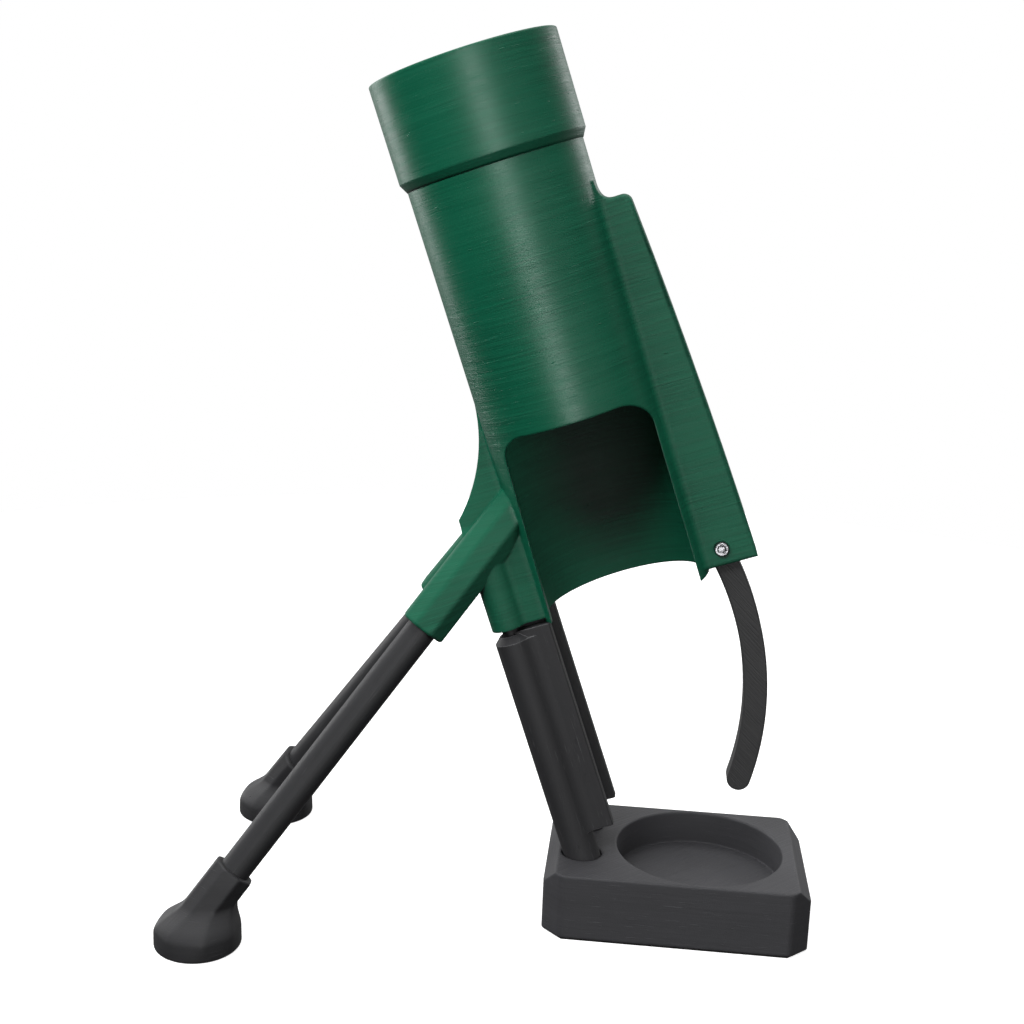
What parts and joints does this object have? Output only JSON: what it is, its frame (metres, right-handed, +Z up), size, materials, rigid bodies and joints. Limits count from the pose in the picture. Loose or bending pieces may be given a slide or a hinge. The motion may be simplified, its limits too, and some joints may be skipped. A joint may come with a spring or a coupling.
{
  "type": "gravity ball feeder",
  "caption": "Leaning ball-feeder barrel on a bipod and a base tray with a ball cup; a pivoted lever works the gate inside the barrel.",
  "frame": {"origin": "on the ground, under the middle of the bounding box", "axes": "+Z up; +X from the bipod's feet towards the cup; the barrel's axis lies in the plane Y = 0 and the window is on the -Y side"},
  "size_m": [0.3198, 0.1976, 0.4391],
  "materials": {
    "green_print": "satin printed plastic with fine layer lines",
    "black_print": "matt printed plastic",
    "steel": "stainless fasteners",
    "spring_steel": "drawn wire",
    "brass": "knurled inserts",
    "rubber": "thin non-slip sheet"
  },
  "bodies": {
    "frame": {"launch_barrel": "green_print", "muzzle_collar": "green_print", "post_near": "black_print", "post_far": "black_print", "post_studs": "black_print", "post_inserts": "brass", "base_screws": "steel", "base_block": "black_print", "base_pad": "rubber", "leg_rod_near": "black_print", "leg_rod_far": "black_print", "foot_near": "black_print", "foot_far": "black_print", "pivot_screw": "steel", "pivot_nut": "steel", "pivot_sleeve": "steel", "pivot_washers": "steel", "return_spring": "spring_steel"},
    "lever": {"release_lever": "black_print", "gate_finger": "black_print", "gate_screw": "steel"}
  },
  "joints": [
    {"name": "lever_hinge", "type": "hinge", "parent": "frame", "child": "lever", "pos_m": [0.10532, 0, 0.19747], "axis": [0, -1, 0], "range_deg": [0, 8.5], "stiffness_Nm_per_rad": 0.02, "springref_deg": -5.73, "deforming": ["return_spring"]}
  ]
}
